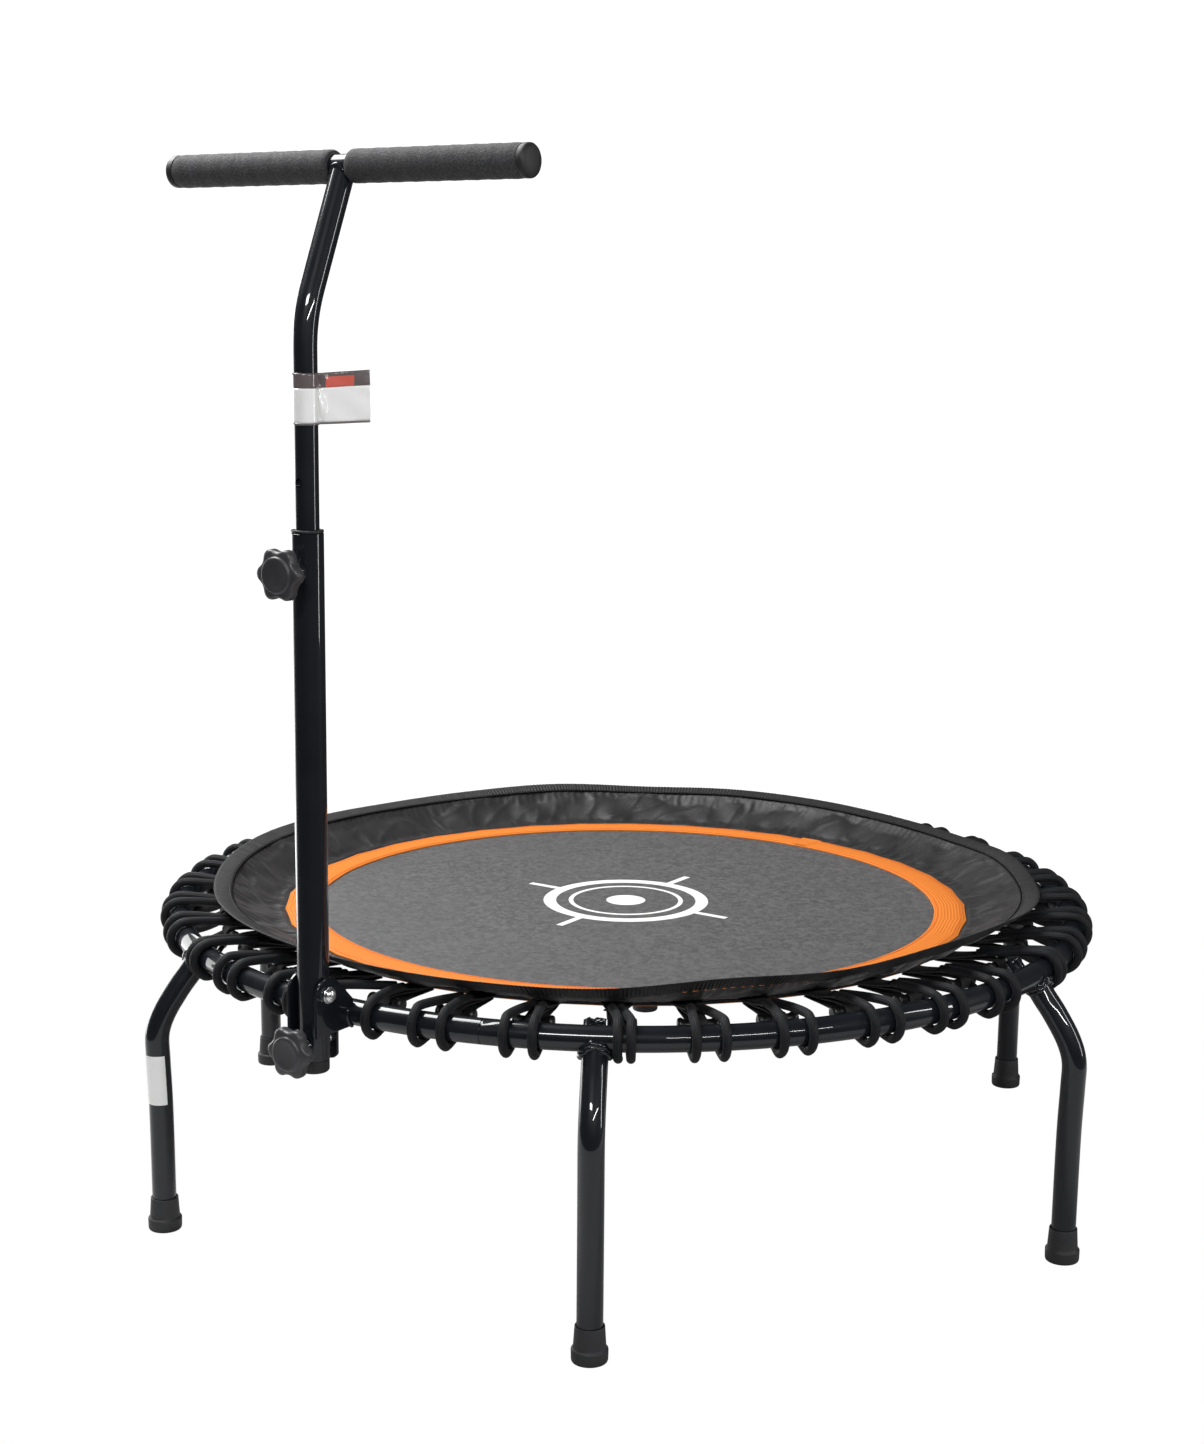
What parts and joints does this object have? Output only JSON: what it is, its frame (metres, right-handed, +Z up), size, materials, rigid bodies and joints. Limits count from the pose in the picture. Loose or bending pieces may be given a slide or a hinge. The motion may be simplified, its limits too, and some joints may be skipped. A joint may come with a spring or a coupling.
{
  "type": "mini trampoline",
  "caption": "Round indoor rebounder on six legs with a bungee-hung jump mat, a fabric cover and a folding, height-adjustable T-handle.",
  "frame": {"origin": "on the floor, under the middle of the whole part's box; the frame ring's centre is 31 mm behind it, towards +Y", "axes": "+Z up, -Y towards the handle and its knobs, +X to the right seen from the handle's side"},
  "size_m": [1.1126, 1.0982, 1.0952],
  "materials": {
    "black_paint": "gloss black powder coat",
    "foot_rubber": "matt moulded rubber",
    "chrome_bolt": "bright chrome",
    "zinc_steel": "zinc-plated",
    "knob_plastic": "fine-textured black plastic",
    "guide_plastic": "matt black plastic",
    "grip_foam": "matt black foam",
    "cap_plastic": "satin black plastic",
    "mat_weave": "woven dark grey polypropylene",
    "orange_webbing": "orange woven webbing",
    "skirt_fabric": "satin dark grey woven cover",
    "binding_tape": "gathered black elastic tape",
    "bungee_cord": "black braided cord and webbing",
    "tag_film": "glossy printed film, blank"
  },
  "bodies": {
    "frame": {"ring_tube": "black_paint", "leg_1": "black_paint", "leg_2": "black_paint", "leg_3": "black_paint", "leg_4": "black_paint", "leg_5": "black_paint", "leg_6": "black_paint", "foot_cap_1": "foot_rubber", "foot_cap_2": "foot_rubber", "foot_cap_3": "foot_rubber", "foot_cap_4": "foot_rubber", "foot_cap_5": "foot_rubber", "foot_cap_6": "foot_rubber", "mast_bracket": "black_paint", "pivot_bolt": "chrome_bolt", "pivot_nut": "chrome_bolt", "pivot_washer_head": "chrome_bolt", "pivot_washer_nut": "chrome_bolt", "bungee_set_1": "bungee_cord", "bungee_set_2": "bungee_cord", "bungee_set_3": "bungee_cord", "bungee_set_4": "bungee_cord", "bungee_set_5": "bungee_cord", "bungee_set_6": "bungee_cord", "skirt": "skirt_fabric", "skirt_binding": "binding_tape"},
    "mat": {"jump_mat": "mat_weave", "mat_edge_band": "orange_webbing"},
    "lower_mast": {"lower_mast_tube": "black_paint", "mast_end_cap": "cap_plastic", "mast_guide_bush": "guide_plastic", "height_boss": "black_paint", "fold_boss": "black_paint"},
    "riser": {"riser_tube": "black_paint", "crossbar": "black_paint", "grip_left": "grip_foam", "grip_right": "grip_foam", "crossbar_cap_left": "cap_plastic", "crossbar_cap_right": "cap_plastic", "riser_tag": "tag_film"},
    "height_stud": {"height_stud": "zinc_steel"},
    "height_knob": {"height_knob": "knob_plastic"},
    "fold_stud": {"fold_stud": "zinc_steel"},
    "fold_knob": {"fold_knob": "knob_plastic"}
  },
  "joints": [
    {"name": "mat_bounce", "type": "slide", "parent": "frame", "child": "mat", "axis": [0, 0, 1], "range_m": [-0.07, 0], "stiffness_N_per_m": 9000, "deforming": ["bungee_set_1", "bungee_set_2", "bungee_set_3", "bungee_set_4", "bungee_set_5", "bungee_set_6", "skirt", "skirt_binding"]},
    {"name": "mast_fold", "type": "hinge", "parent": "frame", "child": "lower_mast", "pos_m": [0, -0.50435, 0.3228], "axis": [-1, 0, 0], "range_deg": [0, 69]},
    {"name": "handle_height", "type": "slide", "parent": "lower_mast", "child": "riser", "axis": [0, 0, 1], "range_m": [-0.08, 0.16]},
    {"name": "height_knob_travel", "type": "slide", "parent": "lower_mast", "child": "height_stud", "axis": [0, -1, 0], "range_m": [0, 0.006]},
    {"name": "height_knob_turn", "type": "hinge", "parent": "height_stud", "child": "height_knob", "pos_m": [0, -0.54275, 0.7192], "axis": [0, -1, 0], "range_deg": [0, 1440]},
    {"name": "fold_knob_travel", "type": "slide", "parent": "lower_mast", "child": "fold_stud", "axis": [0, -1, 0], "range_m": [0, 0.012]},
    {"name": "fold_knob_turn", "type": "hinge", "parent": "fold_stud", "child": "fold_knob", "pos_m": [0, -0.53875, 0.2722], "axis": [0, -1, 0], "range_deg": [0, 2880]}
  ],
  "couplings": [
    {"joint": "height_knob_travel", "follows": "height_knob_turn", "m_per_rad": 0.00023873},
    {"joint": "fold_knob_travel", "follows": "fold_knob_turn", "m_per_rad": 0.00023873}
  ]
}
